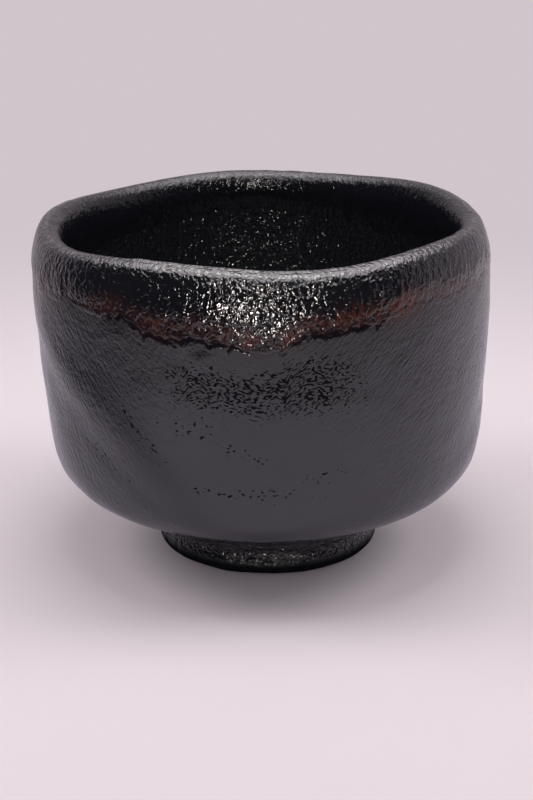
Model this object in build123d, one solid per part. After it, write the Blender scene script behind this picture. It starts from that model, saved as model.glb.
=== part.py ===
from build123d import *
import os
from math import cos, pi, radians, sin

# A hand-formed black tea bowl: a pinched clay body on a luted clay foot ring, under coats of glaze.
# Millimetres, +Z up. While building, the Z axis is the foot ring's own axis. At the end the whole
# bowl moves sideways, so that the origin is the bottom centre of its box.

# Foot ring, the slip that glues it to the body, and the underside of the body
FOOT_TOP = 7.7
SLIP_THICKNESS = 0.6
UNDERSIDE_HEIGHT = FOOT_TOP + SLIP_THICKNESS
UNDERSIDE_RADIUS = 27.6
WELL_TOP_RADIUS = 20.4
CONTACT_OUTER_RADIUS = 24.2
CONTACT_INNER_RADIUS = 21.8
GLAZE_EDGE_HEIGHT = 0.3
WELL_CORNER_RADIUS = 2.0

# Outside of the glazed foot, from its lower edge over the ridge and the neck: (radius, height)
FOOT_OUTSIDE = ((24.7, GLAZE_EDGE_HEIGHT), (26.9, 1.2), (27.9, 3.1), (27.0, 5.9))

# Base coat, and the thicker second coat that was poured over the lip and ran down like a curtain
COAT_THICKNESS = 0.8
CURTAIN_THICKNESS = 0.6
CURTAIN_BUILD_UP = (0.0, 0.7, 0.95)
HEM_OUTSIDE = 70.5
HEM_INSIDE = 72.0

# Outside of the base coat, from the neck above the foot to just under the lip: (radius, height)
OUTER_WALL = (
    (UNDERSIDE_RADIUS, UNDERSIDE_HEIGHT),
    (30.4, 9.9),
    (36.0, 12.2),
    (42.2, 15.6),
    (49.2, 19.8),
    (53.1, 25.0),
    (54.7, 32.6),
    (55.4, 41.4),
    (56.1, 51.1),
    (56.4, 60.8),
    (56.6, 70.3),
    (56.4, 77.0),
)

# Lip: a round roll, seen in section as an arc between the outer and the inner wall
LIP_CENTRE_RADIUS = 52.5
LIP_CENTRE_HEIGHT = 82.2
LIP_SECTION_RADIUS = 2.6
LIP_ARC_START = 15.0
LIP_ARC_STEPS = 5

# Inside of the base coat, from just under the lip down into the tea pool: (radius, height)
INNER_WALL = (
    (49.7, 76.0),
    (50.0, 66.0),
    (49.6, 52.0),
    (48.2, 38.0),
    (44.2, 26.5),
    (36.0, 19.4),
    (27.0, 16.4),
    (18.0, 15.2),
    (9.0, 14.6),
)

# The bowl leans: its middle moves off the foot's axis by LEAN_X over LEAN_RISE
LEAN_X = -2.2
LEAN_RISE = 80.0

# Hand-formed unevenness round the bowl: (waves per turn, size, direction of one crest in degrees)
LIP_HEIGHT_WAVES = ((1, 1.24, -39.0), (2, 0.30, 25.0), (4, 0.23, -24.0), (5, 0.62, 30.0))
PLAN_WAVES = ((2, 0.45, 88.0), (3, 0.53, -22.0), (4, 0.26, -42.0))
HEM_WAVES = ((1, 1.4, 80.0), (3, 2.4, -150.0), (7, 1.4, -117.7))
HEIGHT_WAVE_START = 45.0
PLAN_WAVE_START = 58.0

POINTS_ROUND = 36
RINGS_BELOW_HEM = 24
RINGS_ABOVE_HEM = 6
LIP_RINGS = 12
PATH_SAMPLES = 2000


def waves(angle, terms):
    """Sum of a few waves round the bowl."""
    return sum(size * cos(count * (angle - radians(crest))) for count, size, crest in terms)


def rise(value, start, end):
    """0 before start, 1 after end, smooth between."""
    t = min(max((value - start) / (end - start), 0.0), 1.0)
    return t * t * (3 - 2 * t)


def lip_arc():
    """Points of the lip's rounded section, from outside over the crest to inside."""
    first = radians(LIP_ARC_START)
    turn = (pi - 2 * first) / LIP_ARC_STEPS
    return [
        (
            LIP_CENTRE_RADIUS + LIP_SECTION_RADIUS * cos(first + step * turn),
            LIP_CENTRE_HEIGHT + LIP_SECTION_RADIUS * sin(first + step * turn),
        )
        for step in range(LIP_ARC_STEPS + 1)
    ]


def section_path():
    """The base coat's surface in section, in one smooth curve from the foot to the tea pool."""
    return Spline(*OUTER_WALL, *lip_arc(), *INNER_WALL, tangents=((0, 1), (-1, 0)))


def place_finder(path):
    """Function that turns a height on the outer or the inner wall into a place along the path."""
    samples = [(k / PATH_SAMPLES, (path @ (k / PATH_SAMPLES)).Y) for k in range(PATH_SAMPLES + 1)]
    crest = max(range(len(samples)), key=lambda k: samples[k][1])

    def find(height, inside):
        side = samples[crest:] if inside else samples[:crest]
        return min(side, key=lambda sample: abs(sample[1] - height))[0]

    return find


def between(start, end, count):
    """Even steps from start up to, and without, end."""
    return [start + (end - start) * k / count for k in range(count)]


def places_by_angle(path):
    """For each angle round the bowl, where the rings lie along the path, from 0 to 1.

    One ring follows the second coat's hem outside and one inside, so the layers share their edges.
    """
    arc = lip_arc()
    lip_start = path.param_at_point(Vector(*arc[0]))
    lip_end = path.param_at_point(Vector(*arc[-1]))
    find = place_finder(path)
    table = []
    for step in range(POINTS_ROUND):
        swing = waves(2 * pi * step / POINTS_ROUND, HEM_WAVES)
        hem_out = find(HEM_OUTSIDE + swing, False)
        hem_in = find(HEM_INSIDE + swing, True)
        places = between(0, hem_out, RINGS_BELOW_HEM)
        places += between(hem_out, lip_start, RINGS_ABOVE_HEM)
        places += between(lip_start, lip_end, LIP_RINGS)
        places += between(lip_end, hem_in, RINGS_ABOVE_HEM)
        places += [*between(hem_in, 1, RINGS_BELOW_HEM), 1]
        table.append(places)
    return table


def ring(path, places, lift):
    """Closed curve round the bowl through one place at each angle, lifted off the base coat."""
    points = []
    for step, place in enumerate(places):
        angle = 2 * pi * step / POINTS_ROUND
        spot = path @ place
        along = path % place
        height_share = rise(spot.Y, HEIGHT_WAVE_START, LIP_CENTRE_HEIGHT)
        plan_share = rise(spot.Y, PLAN_WAVE_START, LIP_CENTRE_HEIGHT)
        middle = LEAN_X * (spot.Y - UNDERSIDE_HEIGHT) / LEAN_RISE
        reach = spot.X + along.Y * lift + plan_share * waves(angle, PLAN_WAVES)
        level = spot.Y - along.X * lift + height_share * waves(angle, LIP_HEIGHT_WAVES)
        points.append((middle + reach * cos(angle), reach * sin(angle), level))
    return Wire([Edge.make_spline(points, periodic=True)])


def rings_at(path, lift):
    """All rings of one surface, from the foot over the lip to the pool."""
    return [ring(path, places, lift) for places in zip(*places_by_angle(path))]


def chain(rings):
    """Closed solid through rings that go once round a layer's section and meet again."""
    return Solid.make_loft([*rings, rings[0]], True)


def clay_body(clay_rings):
    """Pinched wall and floor, with a flat underside for the foot."""
    return Solid.make_loft(clay_rings, True)


def outer_glaze(coat_rings, clay_rings):
    """Base coat outside, from the foot to the middle of the lip."""
    middle = RINGS_BELOW_HEM + RINGS_ABOVE_HEM + LIP_RINGS // 2 + 1
    return chain([*coat_rings[:middle], *reversed(clay_rings[:middle])])


def inner_glaze(coat_rings, clay_rings):
    """Base coat inside, from the middle of the lip to the middle of the pool."""
    middle = RINGS_BELOW_HEM + RINGS_ABOVE_HEM + LIP_RINGS // 2
    return Solid.make_loft([*reversed(coat_rings[middle:]), *clay_rings[middle:]], True)


def rim_glaze(path, coat_rings):
    """Second coat, over the lip and down both faces to a wavy hem."""
    first = RINGS_BELOW_HEM
    last = first + 2 * RINGS_ABOVE_HEM + LIP_RINGS
    all_places = list(zip(*places_by_angle(path)))
    over = []
    for index in range(first + 1, last):
        from_hem = min(index - first, last - index)
        share = CURTAIN_BUILD_UP[from_hem] if from_hem < len(CURTAIN_BUILD_UP) else 1.0
        over.append(ring(path, all_places[index], share * CURTAIN_THICKNESS))
    return chain([coat_rings[first], *over, *reversed(coat_rings[first + 1 : last + 1])])


def turned(outline):
    """Solid of revolution about the foot's axis."""
    return revolve(make_face(outline), Axis.Z, 360).solid()


def upright(*points):
    """(radius, height) pairs as points in the XZ plane."""
    return [(radius, 0, height) for radius, height in points]


def foot_curve(inset):
    """Outside of the foot in section, from its lower edge up to the underside of the body."""
    lower = [(radius - inset, height) for radius, height in FOOT_OUTSIDE]
    return Spline(*upright(*lower, (UNDERSIDE_RADIUS - inset, UNDERSIDE_HEIGHT)))


def foot_ring():
    """The clay ring that the bowl stands on, with a flat, bare contact face."""
    side = split(foot_curve(COAT_THICKNESS), Plane.XY.offset(FOOT_TOP), keep=Keep.BOTTOM).edge()
    low, high = sorted(side.vertices(), key=lambda vertex: vertex.Z)
    rest = Polyline(
        (high.X, 0, FOOT_TOP),
        (WELL_TOP_RADIUS, 0, FOOT_TOP),
        (CONTACT_INNER_RADIUS, 0, 0),
        (CONTACT_OUTER_RADIUS, 0, 0),
        (low.X, 0, GLAZE_EDGE_HEIGHT),
    )
    return turned([side, rest])


def slip_joint():
    """Dried slip between the foot ring and the body, shaped to the foot's outside."""
    side = split(foot_curve(COAT_THICKNESS), Plane.XY.offset(FOOT_TOP), keep=Keep.TOP).edge()
    low, high = sorted(side.vertices(), key=lambda vertex: vertex.Z)
    rest = Polyline(
        (high.X, 0, UNDERSIDE_HEIGHT),
        (WELL_TOP_RADIUS, 0, UNDERSIDE_HEIGHT),
        (WELL_TOP_RADIUS, 0, FOOT_TOP),
        (low.X, 0, FOOT_TOP),
    )
    return turned([side, rest])


def foot_glaze():
    """Glaze on the outside of the foot, thin where it rounds under the lower edge."""
    outer = foot_curve(0.0)
    inner = foot_curve(COAT_THICKNESS)
    ends = [Line(outer @ share, inner @ share) for share in (0, 1)]
    return turned([outer, inner, *ends])


def foot_well_glaze():
    """Glaze inside the foot: on the ring's inner wall and on the underside within it."""
    lean = (CONTACT_INNER_RADIUS - WELL_TOP_RADIUS) / FOOT_TOP
    edge_radius = CONTACT_INNER_RADIUS - lean * GLAZE_EDGE_HEIGHT
    ceiling = UNDERSIDE_HEIGHT - COAT_THICKNESS
    wall_radius = WELL_TOP_RADIUS - COAT_THICKNESS
    clay_side = Polyline(
        *upright(
            (edge_radius, GLAZE_EDGE_HEIGHT),
            (WELL_TOP_RADIUS, FOOT_TOP),
            (WELL_TOP_RADIUS, UNDERSIDE_HEIGHT),
            (0, UNDERSIDE_HEIGHT),
            (0, ceiling),
        )
    )
    air_side = FilletPolyline(
        *upright((0, ceiling), (wall_radius, ceiling), (edge_radius, GLAZE_EDGE_HEIGHT)),
        radius=WELL_CORNER_RADIUS,
    )
    return turned([clay_side, air_side])


def bowl():
    """All pieces by name, built round the foot's axis."""
    path = section_path()
    coat_rings = rings_at(path, 0.0)
    clay_rings = rings_at(path, -COAT_THICKNESS)
    return {
        "clay_body": clay_body(clay_rings),
        "slip_joint": slip_joint(),
        "foot_ring": foot_ring(),
        "outer_glaze": outer_glaze(coat_rings, clay_rings),
        "inner_glaze": inner_glaze(coat_rings, clay_rings),
        "rim_glaze": rim_glaze(path, coat_rings),
        "foot_glaze": foot_glaze(),
        "foot_well_glaze": foot_well_glaze(),
    }


def main():
    os.makedirs("parts", exist_ok=True)
    pieces = bowl()
    middle = Compound(list(pieces.values())).bounding_box().center()
    print(f"foot axis at x {-middle.X:.3f}, y {-middle.Y:.3f} mm from the origin")
    for name, piece in pieces.items():
        export_step(piece.moved(Location((-middle.X, -middle.Y, 0))), f"parts/{name}.step")


if __name__ == "__main__":
    main()
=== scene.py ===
import math

import bpy
import numpy as np
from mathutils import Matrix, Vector

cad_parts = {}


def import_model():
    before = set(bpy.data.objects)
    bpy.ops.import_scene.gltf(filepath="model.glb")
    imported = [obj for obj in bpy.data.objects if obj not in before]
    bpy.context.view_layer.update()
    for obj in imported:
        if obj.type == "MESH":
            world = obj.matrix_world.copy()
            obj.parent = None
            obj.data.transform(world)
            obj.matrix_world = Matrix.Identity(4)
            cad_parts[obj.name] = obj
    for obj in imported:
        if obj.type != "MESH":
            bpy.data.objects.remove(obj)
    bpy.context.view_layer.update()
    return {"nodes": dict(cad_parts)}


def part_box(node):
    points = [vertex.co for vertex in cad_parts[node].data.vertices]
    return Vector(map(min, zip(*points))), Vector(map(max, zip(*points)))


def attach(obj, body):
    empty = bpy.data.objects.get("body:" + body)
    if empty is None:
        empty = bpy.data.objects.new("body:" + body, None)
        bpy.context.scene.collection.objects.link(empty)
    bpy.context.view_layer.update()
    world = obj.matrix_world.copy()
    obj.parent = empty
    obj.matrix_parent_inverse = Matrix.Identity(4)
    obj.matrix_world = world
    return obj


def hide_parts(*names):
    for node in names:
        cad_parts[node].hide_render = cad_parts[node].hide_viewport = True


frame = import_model()

# A black, hand-formed tea bowl. Every glaze coat is one dense closed mesh. The coats of the wall
# follow the same section and waves as their CAD nodes, with the hand marks and the hanging edge of
# the second coat as real shape. Finer bumps, dashes and pits are in the materials.
# Lengths are metres, but tables of sections and marks are millimetres. Directions round the bowl
# are degrees, with -90 at the front.

MM = 0.001

# Base coat in section, outside, over the lip and inside: (radius, height)
OUTER_WALL = (
    (27.6, 8.3),
    (30.4, 9.9),
    (36.0, 12.2),
    (42.2, 15.6),
    (49.2, 19.8),
    (53.1, 25.0),
    (54.7, 32.6),
    (55.4, 41.4),
    (56.1, 51.1),
    (56.4, 60.8),
    (56.6, 70.3),
    (56.4, 77.0),
)
LIP_RADIUS, LIP_HEIGHT, LIP_ROLL = 52.5, 82.2, 2.6
LIP_ARC = np.radians(np.linspace(15, 165, 6))
INNER_WALL = (
    (49.7, 76.0),
    (50.0, 66.0),
    (49.6, 52.0),
    (48.2, 38.0),
    (44.2, 26.5),
    (36.0, 19.4),
    (27.0, 16.4),
    (18.0, 15.2),
    (9.0, 14.6),
)
BELLY_RADIUS = OUTER_WALL[8][0] * MM

# Foot in section: the glaze's face, rounded out under its edge, and the line that its back follows
FOOT_OUTSIDE = ((24.7, 0.3), (26.9, 0.45), (28.1, 1.4), (28.2, 3.1), (27.1, 5.9), (27.6, 8.3))
FOOT_CLAY_SIDE = ((24.7, 0.3), (26.9, 1.2), (27.9, 3.1), (27.0, 5.9), (27.6, 8.3))
FOOT_BEAD_HEIGHT = 3.1 * MM
WELL_RADIUS = 19.6 * MM
WELL_CORNER = 2.4 * MM
WELL_CLAY_CORNER = 1.2 * MM
MIDDLE_RING = 1.2 * MM

COAT = 0.8 * MM
OVERLAP = 0.1 * MM
DEEPEST_MARK = 0.6 * MM
INNER_MARK = 0.3 * MM
POOL_RADIUS, POOL_RIDGE = 19 * MM, 0.65 * MM
CURTAIN = 0.6 * MM
LEAN_X, LEAN_RISE = -2.2 * MM, 80 * MM
UNDERSIDE_HEIGHT = 8.3 * MM

# Waves of the lip's height and of the wall's plan: (waves per turn, size, crest's direction)
LIP_HEIGHT_WAVES = ((1, 1.24, -39.0), (2, 0.30, 25.0), (4, 0.23, -24.0), (5, 0.62, 30.0))
PLAN_WAVES = ((2, 0.45, 88.0), (3, 0.53, -22.0), (4, 0.26, -42.0))
HEIGHT_WAVE_START, PLAN_WAVE_START, WAVE_END = 45 * MM, 58 * MM, LIP_HEIGHT * MM

# Second coat's lower edge outside: its height, and where it hangs: (drop, direction, reach)
DRIP = -89.5
HEM_LEVEL = 73.3
HEM_DROPS = ((3.2, -98, 22), (1.6, -114, 6), (3.4, DRIP, 6.5))
INNER_HEM_LEVEL = 72

# Hollows and swellings: (size outwards, direction, its reach, height, its reach)
HAND_SPOTS = (
    (0.95, -158, 36, 17, 10),
    (-0.30, -10, 28, 27, 8),
    (0.50, 0, 36, 67, 11),
    (0.35, 180, 28, 68, 8),
)

# Slanting strokes: (size outwards, direction, its reach, line, width, distance above the line),
# with lines as (direction, height, fall to the right)
LEFT_SCRAPE = (-144, 41, 0.62)
SCRAPES = (
    (-0.62, -146, 27, LEFT_SCRAPE, 5.5, 0),
    (0.32, -146, 27, LEFT_SCRAPE, 5, 12),
    (-0.22, -128, 20, (-128, 24, 0.5), 4, 0),
    (-0.22, -12, 20, (-12, 43, -0.5), 5, 0),
    (0.16, -12, 20, (-12, 36, -0.5), 4, 0),
)

# Rows and groups of pits: (share, direction, its reach, height or line, its reach)
PIT_SPOTS = ((0.87, -94, 24, 33.5, 3), (0.75, -106, 12, 49, 6), (0.75, -76, 9, 38, 4))
PIT_ROWS = (
    (0.87, -96, 13, (-95, 44, 0.45), 2.4),
    (0.87, -121, 12, (-131, 57, 1.09), 2.4),
    (0.87, -133, 12, (-132, 36.3, 0.6), 2.0),
)
# Bands of painted shade over the folds, where shine is taken away: (direction, its reach, line, width)
FOLD_SHADES = ((-127, 18, (-133, 56, 1.09), 5), (-140, 18, (-136, 37, 0.6), 2.6))

# Points round the bowl in each mesh. They are halved towards a middle where they would come closer
# together than THIN_OUT of their distance at the edge.
WALL_COLUMNS = 640
CURTAIN_COLUMNS = 900
FOOT_COLUMNS = 420
WELL_COLUMNS = 240
THIN_OUT = 0.55

foot_low, foot_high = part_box("foot_ring")
FOOT_X, FOOT_Y = (foot_low.x + foot_high.x) / 2, (foot_low.y + foot_high.y) / 2


def waves(angle, terms):
    """Sum of (waves per turn, millimetres, crest in degrees) round the bowl, in metres."""
    return sum(size * np.cos(count * (angle - math.radians(crest))) for count, size, crest in terms) * MM


def rise(value, start, end):
    """0 before start, 1 after end, smooth between."""
    t = np.clip((value - start) / (end - start), 0, 1)
    return t * t * (3 - 2 * t)


def hump(distance, width):
    """1 at distance 0, falling smoothly to nothing over about two widths."""
    return np.exp(-((distance / width) ** 2))


class SectionPath:
    """Smooth curve through points, with the directions of its two ends given."""

    def __init__(self, points, start, end):
        self.points = np.array(points, float)
        gaps = np.linalg.norm(np.diff(self.points, axis=0), axis=1)
        self.knots = np.concatenate([[0], np.cumsum(gaps)])
        count = len(points)
        system = np.eye(count)
        right = np.zeros((count, 2))
        right[0], right[-1] = start, end
        chords = np.diff(self.points, axis=0) / gaps[:, None] ** 2
        for k in range(1, count - 1):
            system[k, k - 1 : k + 2] = 1 / gaps[k - 1], 2 / gaps[k - 1] + 2 / gaps[k], 1 / gaps[k]
            right[k] = 3 * (chords[k - 1] + chords[k])
        self.slopes = np.linalg.solve(system, right)

    def at(self, place):
        """Position and unit direction at place, from 0 at the start to 1 at the end."""
        along = np.clip(place, 0, 1) * self.knots[-1]
        span = np.clip(np.searchsorted(self.knots, along, side="right") - 1, 0, len(self.knots) - 2)
        gap = (self.knots[span + 1] - self.knots[span])[..., None]
        t = (along - self.knots[span])[..., None] / gap
        p, q = self.points[span], self.points[span + 1]
        a, b = self.slopes[span] * gap, self.slopes[span + 1] * gap
        spot = (2 * t**3 - 3 * t**2 + 1) * p + (t**3 - 2 * t**2 + t) * a
        spot += (3 * t**2 - 2 * t**3) * q + (t**3 - t**2) * b
        slope = (6 * t**2 - 6 * t) * (p - q) + (3 * t**2 - 4 * t + 1) * a + (3 * t**2 - 2 * t) * b
        return spot, slope / np.linalg.norm(slope, axis=-1, keepdims=True)


lip_points = [(LIP_RADIUS + LIP_ROLL * math.cos(a), LIP_HEIGHT + LIP_ROLL * math.sin(a)) for a in LIP_ARC]
WALL = SectionPath(np.array([*OUTER_WALL, *lip_points, *INNER_WALL]) * MM, (0, 1), (-1, 0))
FOOT = SectionPath(np.array(FOOT_OUTSIDE) * MM, (1, 0), (0, 1))
FOOT_BACK = SectionPath(np.array(FOOT_CLAY_SIDE) * MM, (1, 0), (0, 1))
SAMPLES = np.linspace(0, 1, 4001)
SAMPLE_HEIGHTS = WALL.at(SAMPLES)[0][:, 1]
CREST = SAMPLES[SAMPLE_HEIGHTS.argmax()]


def place_at(height, inside):
    """Where the section passes a height, on its outer or its inner wall."""
    if inside:
        side = SAMPLES >= CREST
        return np.interp(-height, -SAMPLE_HEIGHTS[side], SAMPLES[side])
    side = SAMPLES <= CREST
    return np.interp(height, SAMPLE_HEIGHTS[side], SAMPLES[side])


def on_bowl(place, angle, lift):
    """Points of the bowl's wall, lifted off the base coat."""
    spot, along = WALL.at(place)
    height_share = rise(spot[..., 1], HEIGHT_WAVE_START, WAVE_END)
    plan_share = rise(spot[..., 1], PLAN_WAVE_START, WAVE_END)
    middle = FOOT_X + LEAN_X * (spot[..., 1] - UNDERSIDE_HEIGHT) / LEAN_RISE
    reach = spot[..., 0] + along[..., 1] * lift + plan_share * waves(angle, PLAN_WAVES)
    level = spot[..., 1] - along[..., 0] * lift + height_share * waves(angle, LIP_HEIGHT_WAVES)
    return np.stack([middle + reach * np.cos(angle), FOOT_Y + reach * np.sin(angle), level], axis=-1)


def round_foot(reach, angle, level):
    """Points at a reach from the foot's axis."""
    return np.stack([FOOT_X + reach * np.cos(angle), FOOT_Y + reach * np.sin(angle), level], axis=-1)


# ---------------------------------------------------------------- hand marks and relief


class Lumps:
    """Smooth random field round the bowl: cells per turn, and cell height in metres."""

    def __init__(self, seed, cells_round, cell_height):
        self.cell_height = cell_height
        self.values = np.random.default_rng(seed).standard_normal((64, cells_round))

    def at(self, angle, height):
        round_, up = angle / (2 * math.pi) * self.values.shape[1], height / self.cell_height
        i, j = np.floor(round_).astype(int), np.floor(up).astype(int)
        u, v = round_ - i, up - j
        u, v = u * u * (3 - 2 * u), v * v * (3 - 2 * v)
        rows, columns = self.values.shape
        corner = [[self.values[(j + b) % rows, (i + a) % columns] for a in (0, 1)] for b in (0, 1)]
        low = corner[0][0] * (1 - u) + corner[0][1] * u
        high = corner[1][0] * (1 - u) + corner[1][1] * u
        return low * (1 - v) + high * v


PALM_LUMPS = Lumps(3, 9, 26 * MM)
FINGER_LUMPS = Lumps(7, 26, 9 * MM)
GLAZE_LUMPS = Lumps(11, 90, 3.6 * MM)
HEM_LUMPS = Lumps(19, 120, 50 * MM)
RAGGED_LUMPS = Lumps(23, 380, 50 * MM)

# Height in a random field from which the second coat's inside takes its lumps, so that they differ
OTHER_LUMPS = 0.3


def degrees_from(angle, centre):
    """Signed distance round the bowl from a direction, in degrees."""
    return (np.degrees(angle) - centre + 180) % 360 - 180


def patch(angle, height, direction, reach, level, width):
    """Soft round spot: reach in degrees, level and width in millimetres."""
    return hump(degrees_from(angle, direction), reach) * hump(height - level * MM, width * MM)


def stroke(angle, height, direction, reach, line, width, above=0):
    """Soft stroke at a distance above a slanting line (direction, height, fall to the right)."""
    line_direction, level, fall = line
    right = np.radians(degrees_from(angle, line_direction)) * BELLY_RADIUS
    distance = (height - level * MM + fall * right) / math.hypot(1, fall)
    return hump(degrees_from(angle, direction), reach) * hump(distance - above * MM, width * MM)


def hand_marks(angle, height):
    """Broad unevenness of the outside, left by hands and scraping tool."""
    below_lip = 1 - rise(height, 76 * MM, 84 * MM)
    even_front = hump(degrees_from(angle, -90), 45) * rise(height, 45 * MM, 58 * MM)
    lift = 0.12 * PALM_LUMPS.at(angle, height) + 0.035 * FINGER_LUMPS.at(angle, height)
    lift *= rise(height, 14 * MM, 26 * MM) * (1 - 0.85 * even_front)
    for size, *spot in HAND_SPOTS:
        lift += size * patch(angle, height, *spot)
    for size, *scrape in SCRAPES:
        lift += size * stroke(angle, height, *scrape)
    return DEEPEST_MARK * np.tanh(lift * below_lip * MM / DEEPEST_MARK)


def hem_height(angle):
    """Lower edge of the second coat outside: high at the sides, hanging in a point at the front."""
    hem = HEM_LEVEL - 0.4 * np.cos(angle + math.pi / 2) + 0.35 * HEM_LUMPS.at(angle, 0 * angle)
    for drop, direction, reach in HEM_DROPS:
        hem -= drop * hump(degrees_from(angle, direction), reach)
    hem += 0.28 * RAGGED_LUMPS.at(angle, 0 * angle)
    return hem * MM


def inner_hem_height(angle):
    """Lower edge of the second coat inside, in three slow waves."""
    return (INNER_HEM_LEVEL + 2.2 * np.cos(3 * angle + 1) + 0.5 * HEM_LUMPS.at(angle, 0 * angle)) * MM


# ---------------------------------------------------------------- meshes


def turn(count):
    """Directions once round the bowl, with the seam at the back."""
    return np.linspace(math.pi / 2, math.pi / 2 + 2 * math.pi, count, endpoint=False)


def spread(start, end, rows, angle):
    """Places for a number of rows from start to end; either may differ round the bowl."""
    share = np.linspace(0, 1, rows)[:, None]
    return np.asarray(start) * (1 - share) + np.asarray(end) * share + 0 * angle[None]


def closed_shell(name, rows):
    """Mesh through rows of points that go once round a layer's section and meet again."""
    grid = np.array(rows)
    count, columns = grid.shape[:2]
    index = np.arange(count * columns).reshape(count, columns)
    right, up = np.roll(index, -1, axis=1), np.roll(index, -1, axis=0)
    faces = np.stack([index, right, np.roll(right, -1, axis=0), up], axis=-1).reshape(-1, 4)
    return new_piece(name, grid.reshape(-1, 3), faces.tolist())


def domed_shell(name, front, back):
    """Mesh of a layer that covers its middle: both faces run from the edge to the middle."""
    points, faces = [], []
    front_edge = add_disc(points, faces, front, False)
    back_edge = add_disc(points, faces, back, True)
    count = len(front_edge)
    for k in range(count):
        n = (k + 1) % count
        faces.append((front_edge[n], front_edge[k], back_edge[k], back_edge[n]))
    return new_piece(name, np.array(points), faces)


def add_disc(points, faces, rows, flipped):
    """Adds rows from the edge to the middle, with fewer columns near the middle, and a cap."""
    first_edge, last, full_reach = None, None, None
    columns = len(rows[0])
    for row in rows:
        middle = np.mean(row, axis=0)
        reach = np.linalg.norm(row[0] - middle)
        full_reach = full_reach or reach
        crowded = reach * len(row) < THIN_OUT * full_reach * columns
        if last is not None and columns % 2 == 0 and crowded:
            columns //= 2
        ring = list(range(len(points), len(points) + columns))
        points.extend(row[:: len(row) // columns])
        if last is None:
            first_edge = ring
        else:
            ratio = len(last) // columns
            for k in range(columns):
                outer = [last[(k * ratio + j) % len(last)] for j in range(ratio + 1)]
                face = [*outer, ring[(k + 1) % columns], ring[k]]
                faces.append(tuple(reversed(face)) if flipped else tuple(face))
        last = ring
    faces.append(tuple(reversed(last)) if flipped else tuple(last))
    return first_edge


def new_piece(name, points, faces):
    mesh = bpy.data.meshes.new(name)
    mesh.from_pydata(points.tolist(), [], faces)
    mesh.validate()
    mesh.shade_smooth()
    piece = bpy.data.objects.new(name, mesh)
    bpy.context.collection.objects.link(piece)
    return piece


def paint(piece, name, values):
    """Stores one number for each point, for the material to read."""
    layer = piece.data.attributes.new(name, "FLOAT", "POINT")
    layer.data.foreach_set("value", np.asarray(values, np.float32).ravel())


def stand_in(piece, node, material):
    """Puts a detailed piece in the place of its CAD node."""
    piece.data.materials.append(material)
    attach(piece, "root")
    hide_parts(node)


# ---------------------------------------------------------------- glaze coats


def outer_glaze(material):
    """Base coat outside, with fewer rows where the second coat hides it."""
    angle = turn(WALL_COLUMNS)
    under_curtain = place_at(hem_height(angle) + 4 * MM, False)
    seen = spread(0, under_curtain, 130, angle)
    covered = spread(under_curtain, CREST, 7, angle)[1:]
    places = np.concatenate([seen, covered])
    around = angle + 0 * places
    height = WALL.at(places)[0][..., 1]
    lift = hand_marks(around, height) + 0.035 * MM * GLAZE_LUMPS.at(around, height)
    front = on_bowl(places, around, lift)
    back_places = spread(CREST, 0, 9, angle)
    around_back = angle + 0 * back_places
    back = on_bowl(back_places, around_back, -COAT + 0 * back_places)
    piece = closed_shell("glaze_outside", np.concatenate([front, back]))
    heights = np.concatenate([height, WALL.at(back_places)[0][..., 1]])
    paint_wall(piece, np.concatenate([around, around_back]), heights, 0)
    stand_in(piece, "outer_glaze", material)


def curtain_profile(from_hem, front):
    """Thickness of the second coat from its hem up: thickest at the hem in front, tapered elsewhere."""
    edge = np.sqrt(1 - (1 - np.clip(from_hem / (0.6 * MM), 0, 1)) ** 2)
    roll = 0.35 + 0.75 * np.exp(-np.maximum(from_hem, 0) / (9 * MM))
    return CURTAIN * (front * edge * roll + (1 - front) * rise(from_hem, 0, 6 * MM))


def front_share(angle):
    """1 across the front, where the second coat ends in a crisp edge."""
    return 1 - rise(np.abs(degrees_from(angle, -95)), 27, 44)


def rim_glaze(material):
    """Second coat, over the lip from its hem outside to its hem inside."""
    angle = turn(CURTAIN_COLUMNS)
    hem_out, hem_in = place_at(hem_height(angle), False), place_at(inner_hem_height(angle), True)
    places = spread(hem_out, hem_in, 102, angle)
    around = angle + 0 * places
    length = WALL.knots[-1]
    from_hem = np.minimum(places - hem_out, hem_in - places) * length
    height = WALL.at(places)[0][..., 1]
    outside = places < CREST
    marks = np.where(outside, hand_marks(around, height), 0)
    lump_height = np.where(outside, height, OTHER_LUMPS - height)
    lumps = 0.05 * MM * GLAZE_LUMPS.at(around, lump_height)
    lumps *= rise(from_hem, 0, 2 * MM)
    thickness = curtain_profile(from_hem, np.where(outside, front_share(around), 0))
    front = on_bowl(places, around, thickness + marks + lumps)
    back_places = spread(hem_in, hem_out, 11, angle)[1:-1]
    around_back = angle + 0 * back_places
    back_height = WALL.at(back_places)[0][..., 1]
    back_marks = np.where(back_places < CREST, hand_marks(around_back, back_height), 0)
    back = on_bowl(back_places, around_back, back_marks - OVERLAP)
    piece = closed_shell("glaze_curtain", np.concatenate([front, back]))
    inside = rise(np.concatenate([places, back_places]), CREST, CREST + 0.001)
    heights = np.concatenate([height, back_height])
    paint_wall(piece, np.concatenate([around, around_back]), heights, inside)
    stand_in(piece, "rim_glaze", material)


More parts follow.
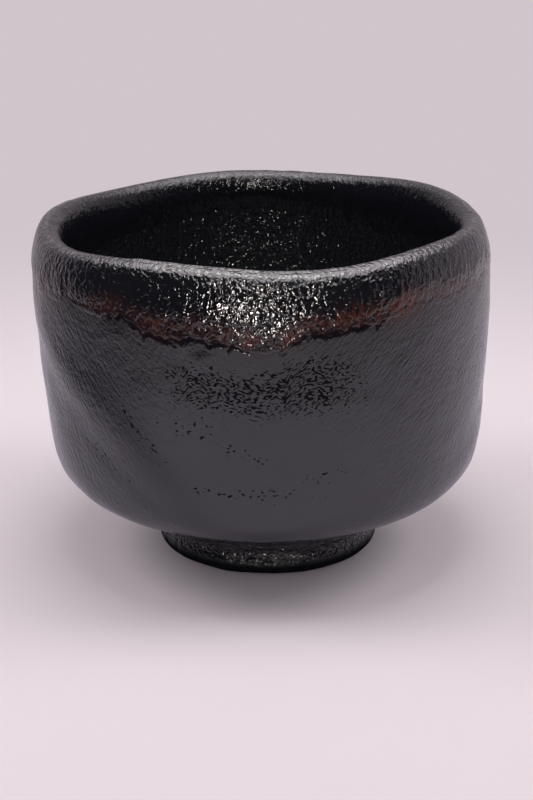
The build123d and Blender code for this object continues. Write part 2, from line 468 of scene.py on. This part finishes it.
def inner_glaze(material):
    """Base coat inside, a little thicker low down and round the tea pool, to cover the clay."""
    angle = turn(WALL_COLUMNS)
    places = spread(CREST, 1, 132, angle)
    around = angle + 0 * places
    spot = WALL.at(places)[0]
    height = spot[..., 1]
    marks = 0.2 * PALM_LUMPS.at(around, height + 0.5) + 0.06 * FINGER_LUMPS.at(around, height + 0.5)
    marks = INNER_MARK * np.tanh(marks * MM / INNER_MARK)
    low = 1 - rise(height, 22 * MM, 32 * MM)
    past_lip = rise(WALL.knots[-1] * (places - CREST), 4 * MM, 20 * MM)
    lift = INNER_MARK * low + marks * (1 - 0.5 * low) * past_lip
    lift += POOL_RIDGE * hump(spot[..., 0] - POOL_RADIUS, 4.5 * MM)
    front = [*on_bowl(places, around, lift)]
    back_places = spread(CREST, 1, 12, angle)
    back = [*on_bowl(back_places, angle + 0 * back_places, -COAT + 0 * back_places)]
    piece = domed_shell("glaze_inside", front, back)
    stand_in(piece, "inner_glaze", material)


def foot_glaze(material):
    """Coat outside the foot, with a bead round it and a hidden back that nears the face low down."""
    angle = turn(FOOT_COLUMNS)
    places = spread(0, 1, 56, angle)
    around = angle + 0 * places
    spot, along = FOOT.at(places)
    bead = hump(spot[..., 1] - FOOT_BEAD_HEIGHT, 1.2 * MM)
    lift = 0.16 * FINGER_LUMPS.at(around, 0.2 + spot[..., 1] / 4)
    lift += 0.10 * bead * HEM_LUMPS.at(around, 0 * around)
    lift *= MM * rise(places, 0, 0.15) * (1 - rise(places, 0.85, 1))
    front = round_foot(spot[..., 0] + along[..., 1] * lift, around, spot[..., 1] - along[..., 0] * lift)
    back_places = spread(1, 0, 8, angle)
    spot = FOOT_BACK.at(back_places)[0]
    inset = COAT * rise(spot[..., 1], 0.2 * MM, 1.5 * MM) + 0.12 * MM
    back = round_foot(spot[..., 0] - inset, angle + 0 * back_places, spot[..., 1])
    piece = closed_shell("glaze_foot", np.concatenate([front, back]))
    stand_in(piece, "foot_glaze", material)


def foot_well_glaze(material):
    """Glaze inside the foot: down the ring's inner wall, round the corner and over the middle."""
    low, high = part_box("foot_well_glaze")
    angle = turn(WELL_COLUMNS)
    edge, wall, corner = (high.x - low.x) / 2, WELL_RADIUS, WELL_CORNER
    ceiling = high.z - COAT
    turn_in = np.radians(np.linspace(0, 90, 10))
    radii = [*np.linspace(edge, wall, 14)[:-1], *(wall - corner + corner * np.cos(turn_in))]
    levels = [*np.linspace(low.z, ceiling - corner, 14)[:-1]]
    levels += [*(ceiling - corner + corner * np.sin(turn_in))]
    radii += [*np.linspace(wall - corner, MIDDLE_RING, 22)[1:]]
    levels += [ceiling] * (len(radii) - len(levels))
    bumps = [0.12 * MM * (1 - hump(r - edge, 2 * MM)) for r in radii]
    air = [well_row(r, z, angle, bump) for r, z, bump in zip(radii, levels, bumps)]
    clay_radii = [edge + 0.02 * MM, wall + COAT, wall + COAT, wall / 2, MIDDLE_RING]
    clay_levels = [low.z, high.z - WELL_CLAY_CORNER, high.z, high.z, high.z]
    clay = [well_row(r, z, angle, 0) for r, z in zip(clay_radii, clay_levels)]
    piece = domed_shell("glaze_foot_well", air, clay)
    stand_in(piece, "foot_well_glaze", material)


def well_row(radius, level, angle, lift):
    """Once round the foot's hollow, with bumps that only hang down."""
    bump = lift * FINGER_LUMPS.at(angle, radius + 0 * angle)
    return round_foot(radius, angle, level - np.abs(bump))


# ---------------------------------------------------------------- what the wall's material reads


def paint_wall(piece, angle, height, inside):
    """Marks where the wall is coarse, leathery, red, dashed or pitted, and where it gets painted shade,
    for its material.
    """
    above_hem = height - hem_height(angle)
    coarse = rise(above_hem, 0.9 * MM, 2.0 * MM) * (0.4 + 0.6 * rise(height, 67.5 * MM, 74 * MM))
    coarse = np.maximum(coarse, inside) * (1 - 0.35 * inside)
    leathery = (1 - coarse) * (1 - 0.85 * hump(degrees_from(angle, -90), 38))
    to_right = rise(np.cos(angle), -0.35, 0.35)
    # Painted shade along the second coat's hem in front, under its edge
    hem_shade = hump(above_hem - 0.1 * MM, 1.5 * MM) * front_share(angle)
    hem_shade *= 1 - 0.8 * hump(degrees_from(angle, DRIP), 4.5)
    rows = [share * stroke(angle, height, *row) for share, *row in PIT_ROWS]
    groups = [share * patch(angle, height, *spot) for share, *spot in PIT_SPOTS]
    paint(piece, "inside", inside + 0 * height)
    paint(piece, "coarse", coarse)
    paint(piece, "lean_right", leathery * to_right)
    paint(piece, "lean_left", leathery * (1 - to_right))
    paint(piece, "red_band", red_band_share(angle, height) * (1 - inside))
    paint(piece, "dashes", dash_share(angle, height))
    paint(piece, "hem_shade", hem_shade)
    paint(piece, "arc", above_hem)
    # Painted shade in bands over the folds
    paint(piece, "fold_shade", np.maximum.reduce([stroke(angle, height, *fold) for fold in FOLD_SHADES]))
    paint(piece, "pits", np.maximum.reduce([*rows, *groups]))


def red_band_share(angle, height):
    """Red band just above the second coat's hem, with one patch at the right, fainter at the sides."""
    above_hem = height - hem_height(angle)
    sides = 1 - hump(degrees_from(angle, -88), 42)
    red = hump(above_hem - 2.9 * MM, 2.2 * MM) * (0.75 + 0.35 * HEM_LUMPS.at(angle + 0.3, height * 3))
    red += 0.9 * patch(angle, height, -55, 5, 73.5, 2.5)
    red *= (1 - 0.65 * sides) * (1 - 0.65 * hump(degrees_from(angle, -146), 24))
    return np.clip(red, 0, 1)


def dash_share(angle, height):
    """Band of short dashes below the hem, which sags under the drip and widens to its right."""
    centre = 59.5 - 2.0 * hump(degrees_from(angle, -93), 8) + 0.6 * hump(degrees_from(angle, -76), 10)
    reach = 5.4 + 2.2 * hump(degrees_from(angle, -77), 9)
    band = 1 - rise(np.abs(height / MM - centre) / reach, 0.4, 1.6)
    return band * rise(degrees_from(angle, -113), -7, 7) * (1 - rise(degrees_from(angle, -66), -10, 10))


# ---------------------------------------------------------------- materials


class Nodes:
    """Short way to add and join nodes. A value is a number, a colour or a (node, output) pair."""

    def __init__(self, tree):
        self.tree = tree
        self.tree.nodes.clear()

    def add(self, kind, **settings):
        node = self.tree.nodes.new(kind)
        for key, value in settings.items():
            setattr(node, key, value)
        return node

    def join(self, source, output, target, input_):
        self.tree.links.new(source.outputs[output], target.inputs[input_])

    def set(self, target, input_, value):
        """Joins value if it is a (node, output) pair, or stores it."""
        if isinstance(value, tuple) and len(value) == 2 and hasattr(value[0], "outputs"):
            self.join(value[0], value[1], target, input_)
        else:
            target.inputs[input_].default_value = value

    def math(self, operation, *values):
        node = self.add("ShaderNodeMath", operation=operation)
        for k, value in enumerate(values):
            self.set(node, k, value)
        return node, "Value"

    def strongest(self, first, *others):
        """The largest of some numbers."""
        for other in others:
            first = self.math("MAXIMUM", first, other)
        return first

    def number(self, name):
        """What was painted on the points under a name."""
        return self.add("ShaderNodeAttribute", attribute_name=name), "Fac"

    def ramp(self, value, low, high):
        """0 at low, 1 at high, smooth between."""
        node = self.add("ShaderNodeMapRange", clamp=True, interpolation_type="SMOOTHSTEP")
        self.set(node, "Value", value)
        self.set(node, "From Min", low)
        self.set(node, "From Max", high)
        return node, "Result"

    def colour(self, share, first, second):
        """First colour where share is 0, second where it is 1."""
        node = self.add("ShaderNodeMix", data_type="RGBA")
        self.set(node, "Factor", share)
        self.set(node, "A", first)
        self.set(node, "B", second)
        return node, "Result"

    def axes(self):
        """Object position as a node with the outputs X, Y and Z."""
        where = self.add("ShaderNodeTexCoord")
        split = self.add("ShaderNodeSeparateXYZ")
        self.join(where, "Object", split, "Vector")
        return split

    def place(self, scale):
        """Object position, scaled."""
        where = self.add("ShaderNodeTexCoord")
        return self.scaled((where, "Object"), scale)

    def helix(self, scale, slant):
        """Object position turned more the higher it is, so that upright cells lean by slant degrees."""
        twist = math.tan(math.radians(slant)) / BELLY_RADIUS
        where = self.add("ShaderNodeTexCoord")
        turned = self.add("ShaderNodeVectorRotate", rotation_type="Z_AXIS")
        self.join(where, "Object", turned, "Vector")
        self.set(turned, "Angle", self.math("MULTIPLY", (self.axes(), "Z"), -twist))
        return self.scaled((turned, "Vector"), scale)

    def scaled(self, where, scale):
        mapping = self.add("ShaderNodeMapping", vector_type="POINT")
        self.set(mapping, "Vector", where)
        self.set(mapping, "Scale", scale)
        return mapping, "Vector"

    def along_hem(self, scale):
        """Object position, scaled, with its height taken from the second coat's hem."""
        split = self.axes()
        joined = self.add("ShaderNodeCombineXYZ")
        for axis, size, value in zip("XYZ", scale, ((split, "X"), (split, "Y"), self.number("arc"))):
            self.set(joined, axis, self.math("MULTIPLY", value, size))
        return joined, "Vector"

    def noise(self, where, detail=2.0, roughness=0.5, curl=0.0):
        node = self.add("ShaderNodeTexNoise", noise_dimensions="3D")
        self.set(node, "Vector", where)
        self.set(node, "Scale", 1.0)
        self.set(node, "Detail", detail)
        self.set(node, "Roughness", roughness)
        self.set(node, "Distortion", curl)
        return node, "Fac"

    def specks(self, noise, name, lift, low, high):
        """1 in the peaks of a noise, only where what is painted under a name lifts them."""
        return self.ramp(self.math("MULTIPLY_ADD", self.number(name), lift, noise), low, high)


class Surface(Nodes):
    """New material with one Principled shader."""

    def __init__(self, name):
        self.material = bpy.data.materials.new(name)
        self.material.use_nodes = True
        super().__init__(self.material.node_tree)
        self.shader = self.add("ShaderNodeBsdfPrincipled")
        self.join(self.shader, "BSDF", self.add("ShaderNodeOutputMaterial"), "Surface")

    def relief(self, height):
        """Bumps of a height in millimetres."""
        bump = self.add("ShaderNodeBump")
        self.set(bump, "Distance", MM)
        self.set(bump, "Height", height)
        self.join(bump, "Normal", self.shader, "Normal")


def cells(across, along):
    """Scale for cells of two sizes in millimetres: round the bowl, and up it."""
    return (1 / (across * MM), 1 / (across * MM), 1 / (along * MM))


# Depth of the glaze's relief in millimetres
CURTAIN_STREAKS = 0.27
WALL_LEATHER = 0.36
DASH_DENT = 0.05
INSIDE_GRAINS = 0.62
INSIDE_STREAKS = 0.12
FOOT_GRAINS = 0.5
FINEST_GRAINS = 0.01

GLAZE_IOR = 1.68
GLAZE_ROUGH, DULL_EXTRA_ROUGH = 0.10, 0.5
FULL_SPECULAR = 0.5
LEAN_RIGHT, LEAN_LEFT = 36, -20
# How much shine is taken away: in the bands of painted shade over the folds, inside, and on the red
FOLD_SHADE_STRENGTH, INSIDE_DULL, RED_DULL = 0.38, 0.5, 0.55

BLACK = (0.0072, 0.0077, 0.0105, 1)
LIGHTER_BLACK = (0.0095, 0.0100, 0.0135, 1)
# Red-brown of the band just above the hem
RED_BROWN = (0.098, 0.024, 0.014, 1)


def black(n):
    """Nearly black colour with broad faint clouds."""
    return n.colour(n.noise(n.place(cells(6, 9))), BLACK, LIGHTER_BLACK)


def streaks(n):
    """Curled upright bumps, as high as they are deep."""
    curls = n.noise(n.place(cells(0.95, 1.3)), 0.0, curl=0.9)
    ripples = n.noise(n.place(cells(1.3, 2.4)), 0.0)
    return n.math("ADD", n.math("MULTIPLY_ADD", ripples, 0.8, curls), -0.9)


def glaze(n, colour, relief, rough):
    """What all glazes share."""
    fine = n.noise(n.place(cells(0.3, 0.4)), 0.0)
    n.relief(n.math("MULTIPLY_ADD", fine, FINEST_GRAINS, relief))
    n.set(n.shader, "Base Color", colour)
    n.set(n.shader, "Roughness", rough)
    n.set(n.shader, "IOR", GLAZE_IOR)
    return n.material


def dulled(n, dull_and_shade):
    """Takes the shine away where the given share is 1, as on the slopes that mirror nothing. Along the
    hem, over the folds and at the foot's lower edge this is painted shade.
    """
    n.set(n.shader, "Specular IOR Level", n.math("MULTIPLY_ADD", dull_and_shade, -FULL_SPECULAR, FULL_SPECULAR))


def wall_black():
    """Outside: streaky second coat, leathery sides, black dashes and pits, a ragged line of painted shade
    along the hem, bands of painted shade over the folds, and a red band.
    """
    n = Surface("wall_glaze")
    depth = n.math("MULTIPLY", n.number("coarse"), CURTAIN_STREAKS)
    relief = n.math("MULTIPLY", streaks(n), depth)
    for slant, name in ((LEAN_RIGHT, "lean_right"), (LEAN_LEFT, "lean_left")):
        leather = n.noise(n.helix(cells(0.85, 1.5), slant), 3.0, 0.6)
        depth = n.math("MULTIPLY", n.number(name), WALL_LEATHER)
        relief = n.math("MULTIPLY_ADD", leather, depth, relief)
    dashes = n.specks(n.noise(n.along_hem(cells(0.85, 0.38)), 0.0), "dashes", 0.4, 0.895, 0.945)
    pits = n.specks(n.noise(n.place(cells(0.9, 0.6)), 0.0), "pits", 0.4, 0.97, 1.02)
    # Ragged line of painted shade along the hem, also slightly dented
    hem_shade = n.specks(n.noise(n.along_hem(cells(1.6, 1.0))), "hem_shade", 0.5, 0.80, 0.92)
    marks = n.strongest(dashes, pits, hem_shade)
    patchy = n.ramp(n.noise(n.place(cells(0.8, 1.8)), 3.0), 0.34, 0.60)
    red = n.math("MULTIPLY", n.number("red_band"), patchy)
    # Painted shade in bands over the folds
    fold_shade = n.math("MULTIPLY", n.number("fold_shade"), FOLD_SHADE_STRENGTH)
    inside = n.math("MULTIPLY", n.number("inside"), INSIDE_DULL)
    dulled(n, n.strongest(marks, fold_shade, inside, n.math("MULTIPLY", red, RED_DULL)))
    relief = n.math("MULTIPLY_ADD", marks, -DASH_DENT, relief)
    rough = n.math("MULTIPLY_ADD", marks, DULL_EXTRA_ROUGH, GLAZE_ROUGH)
    return glaze(n, n.colour(red, black(n), RED_BROWN), relief, rough)


def inside_black():
    """Inside of the bowl and of the foot: grainy and even."""
    n = Surface("inside_glaze")
    grains = n.noise(n.place(cells(0.9, 1.1)), 1.0)
    relief = n.math("MULTIPLY_ADD", grains, INSIDE_GRAINS, n.math("MULTIPLY", streaks(n), INSIDE_STREAKS))
    return glaze(n, black(n), relief, GLAZE_ROUGH)


def foot_black():
    """Foot: grainy above; at its lower edge it loses its shine and is rougher, which darkens it as
    painted shade.
    """
    n = Surface("foot_glaze")
    height = n.axes(), "Z"
    grains = n.noise(n.place(cells(0.7, 0.6)), 0.0)
    depth = n.math("MULTIPLY", n.ramp(height, 2 * MM, 4 * MM), FOOT_GRAINS)
    # Painted shade: the lower edge loses its shine and goes dark
    dull_and_shade = n.ramp(height, 4.4 * MM, 2.2 * MM)
    dulled(n, dull_and_shade)
    rough = n.math("MULTIPLY_ADD", dull_and_shade, DULL_EXTRA_ROUGH, GLAZE_ROUGH)
    return glaze(n, black(n), n.math("MULTIPLY", grains, depth), rough)


def bare_clay(name, dark, light):
    """Unglazed, smoke-darkened clay with fine grit."""
    n = Surface(name)
    mottle = n.noise(n.place(cells(3, 3)), 4.0, 0.6)
    grit = n.noise(n.place(cells(0.35, 0.35)))
    n.set(n.shader, "Base Color", n.colour(n.ramp(mottle, 0.3, 0.7), dark, light))
    n.set(n.shader, "Roughness", n.math("MULTIPLY_ADD", grit, 0.2, 0.72))
    n.relief(n.math("MULTIPLY", grit, 0.12))
    return n.material


def cad_material(node, material):
    """Gives a carried-over CAD node its material."""
    mesh = frame["nodes"][node].data
    mesh.materials.clear()
    mesh.materials.append(material)


# ---------------------------------------------------------------- stage, light and camera

PALE = (0.82, 0.735, 0.775, 1)
COOL_PALE = (0.76, 0.685, 0.79, 1)
BACKDROP = (0.63, 0.56, 0.60, 1)
NOTHING = (0, 0, 0, 1)
FLOOR_RADIUS = 6.0
SHEET_RADIUS, SHEET_MIDDLE = 0.34, (0.12, -0.005)
# Painted shade on the sheet's left side: the share of its brightness kept there, and where across it the
# shade is whole and where it has gone
SHEET_SHADED_LEFT_SHARE = 0.2
DIM_BEFORE, FULL_AFTER = -0.21, -0.08
BACKDROP_START, BACKDROP_END = 0.10, 0.34
# Faint glow of the floor's own colour near the bowl: painted light that lifts the shadows on it
SHADOW_LIFTING_GLOW = 0.04

# What the glaze mirrors of the room, and the light that falls on everything matt
PALE_SIDE = (0.4, 1, 0)
DARK_ROOM = (0.012, 0.012, 0.014, 1)
PALE_ROOM = (0.47, 0.41, 0.455, 1)
BRIGHT_CEILING = (3.9, 3.65, 3.75, 1)
AMBIENT = (0.38, 0.367, 0.38, 1)

# Lamps that the glaze mirrors: (name, diameter, watts, place, target, beam in degrees)
GLINTS = (
    ("wall_glint", 0.045, 0.0015, (-0.005, -0.28, 0.077), (-0.001, -0.056, 0.079), 9.5),
    ("foot_glint", 0.010, 0.00035, (0.004, -0.28, 0.04), (0.002, -0.028, 0.004), 12),
    ("window", 0.10, 1.3, (0.02, -0.80, 0.42), (0, 0, 0.06), 180),
)
WARM_WHITE = (1, 0.93, 0.87)
CEILING_SIZE, CEILING_POWER, CEILING_HEIGHT = 0.42, 2.3, 0.95
FILL_SIZE, FILL_POWER = 0.35, 1.45
FILL_SIDE, FILL_BACK, FILL_HEIGHT = 0.50, 0.02, 0.50

CAMERA_PLACE = (1.34 * MM, -419.9 * MM, 189.2 * MM)
CAMERA_PITCH = 19.98
CAMERA_LENS = 78.35


def times(colour, share):
    return [share * c for c in colour[:3]] + [1]


def floor_material(name, colour, shaded_left_share):
    """Pale matt floor that turns into the even backdrop away from the bowl. Its left side can be darker,
    a painted shade, and near the bowl it glows faintly, painted light that lifts its shadows.
    """
    n = Surface(name)
    where = n.add("ShaderNodeTexCoord")
    length = n.add("ShaderNodeVectorMath", operation="LENGTH")
    n.join(where, "Object", length, 0)
    away = n.ramp((length, "Value"), BACKDROP_START, BACKDROP_END)
    grain = n.noise(n.place((30, 30, 30)))
    pale = n.colour(grain, colour, times(colour, 0.98))
    to_right = n.ramp((n.axes(), "X"), DIM_BEFORE, FULL_AFTER)
    # Painted shade: the left side keeps only a share of its brightness
    pale = n.colour(to_right, times(colour, shaded_left_share), pale)
    n.set(n.shader, "Base Color", n.colour(away, pale, NOTHING))
    # Near the bowl a faint glow, painted light that lifts the shadows; away from it the even backdrop
    n.set(n.shader, "Emission Color", n.colour(away, times(colour, SHADOW_LIFTING_GLOW), BACKDROP))
    n.set(n.shader, "Emission Strength", 1.0)
    n.set(n.shader, "Roughness", 0.9)
    n.set(n.shader, "Specular IOR Level", 0.0)
    return n.material


def disc(name, radius, middle, level, segments=96):
    x, y = middle
    points = [(x + radius * math.cos(a), y + radius * math.sin(a), level) for a in turn(segments)]
    mesh = bpy.data.meshes.new(name)
    mesh.from_pydata(points, [], [tuple(range(segments))])
    piece = bpy.data.objects.new(name, mesh)
    bpy.context.collection.objects.link(piece)
    return piece


def floor():
    """A wide pale floor to look at, and the smaller pale sheet that the glaze mirrors, darker on its left
    by painted shade.
    """
    seen = disc("floor", FLOOR_RADIUS, (0, 0), -0.1 * MM)
    seen.data.materials.append(floor_material("floor_pale", PALE, 1.0))
    seen.visible_glossy = False
    mirrored = disc("sheet", SHEET_RADIUS, SHEET_MIDDLE, 0)
    mirrored.data.materials.append(floor_material("sheet_pale", COOL_PALE, SHEET_SHADED_LEFT_SHARE))
    mirrored.visible_camera = False
    mirrored.visible_diffuse = False
    mirrored.visible_shadow = False


def world():
    """Room: pale to the camera; to the glaze dark in front, pale behind and right, bright overhead."""
    room = bpy.data.worlds.new("room")
    bpy.context.scene.world = room
    room.use_nodes = True
    n = Nodes(room.node_tree)
    where = n.add("ShaderNodeTexCoord")
    split = n.add("ShaderNodeSeparateXYZ")
    n.join(where, "Generated", split, "Vector")
    backward = n.add("ShaderNodeVectorMath", operation="DOT_PRODUCT")
    n.join(where, "Generated", backward, 0)
    n.set(backward, 1, PALE_SIDE)
    walls = n.colour(n.ramp((backward, "Value"), -0.15, 0.45), DARK_ROOM, PALE_ROOM)
    mirrored = n.colour(n.ramp((split, "Z"), 0.55, 0.88), walls, BRIGHT_CEILING)
    path = n.add("ShaderNodeLightPath")
    lighting = either(n, (path, "Is Glossy Ray"), AMBIENT, mirrored)
    everything = n.add("ShaderNodeMixShader")
    n.set(everything, 0, (path, "Is Camera Ray"))
    n.set(everything, 1, lighting)
    n.set(everything, 2, background(n, BACKDROP))
    n.join(everything, "Shader", n.add("ShaderNodeOutputWorld"), "Surface")


def background(n, colour):
    node = n.add("ShaderNodeBackground")
    n.set(node, "Color", colour)
    return node, "Background"


def either(n, share, first, second):
    """One background colour where share is 0, another where it is 1."""
    node = n.add("ShaderNodeMixShader")
    n.set(node, 0, share)
    n.set(node, 1, background(n, first))
    n.set(node, 2, background(n, second))
    return node, "Shader"


def lamp(name, size, power, place, target, beam=180):
    """Round soft light that shines within a beam of so many degrees."""
    light = bpy.data.lights.new(name, "AREA")
    light.shape = "DISK"
    light.size = size
    light.spread = math.radians(beam)
    light.energy = power
    holder = bpy.data.objects.new(name, light)
    holder.location = place
    holder.rotation_euler = (Vector(target) - Vector(place)).to_track_quat("-Z", "Y").to_euler()
    bpy.context.collection.objects.link(holder)
    return holder


def lights():
    """Soft ceiling and two fills, and three warm lamps that only the glaze mirrors."""
    lamp("ceiling", CEILING_SIZE, CEILING_POWER, (0, 0, CEILING_HEIGHT), (0, 0, 0))
    for glint in GLINTS:
        bright = lamp(*glint)
        bright.data.color = WARM_WHITE
        bright.visible_diffuse = False
        bright.visible_camera = False
    for side in (-1, 1):
        place = (side * FILL_SIDE, FILL_BACK, FILL_HEIGHT)
        fill = lamp(f"fill_{side + 2}", FILL_SIZE, FILL_POWER, place, (0, 0, 0))
        fill.visible_glossy = False


def camera():
    data = bpy.data.cameras.new("camera")
    data.lens = CAMERA_LENS
    data.sensor_width = 36
    data.clip_start = 0.01
    holder = bpy.data.objects.new("camera", data)
    holder.location = CAMERA_PLACE
    holder.rotation_euler = (math.radians(90 - CAMERA_PITCH), 0, 0)
    bpy.context.collection.objects.link(holder)
    bpy.context.scene.camera = holder


camera()
floor()
world()
lights()
bpy.context.scene.view_settings.view_transform = "Standard"

wall, inside, foot = wall_black(), inside_black(), foot_black()
outer_glaze(wall)
rim_glaze(wall)
inner_glaze(inside)
foot_glaze(foot)
foot_well_glaze(inside)
clay = bare_clay("bare_clay", (0.055, 0.045, 0.038, 1), (0.12, 0.095, 0.078, 1))
slip = bare_clay("dry_slip", (0.075, 0.06, 0.05, 1), (0.13, 0.105, 0.09, 1))
cad_material("clay_body", clay)
cad_material("foot_ring", clay)
cad_material("slip_joint", slip)
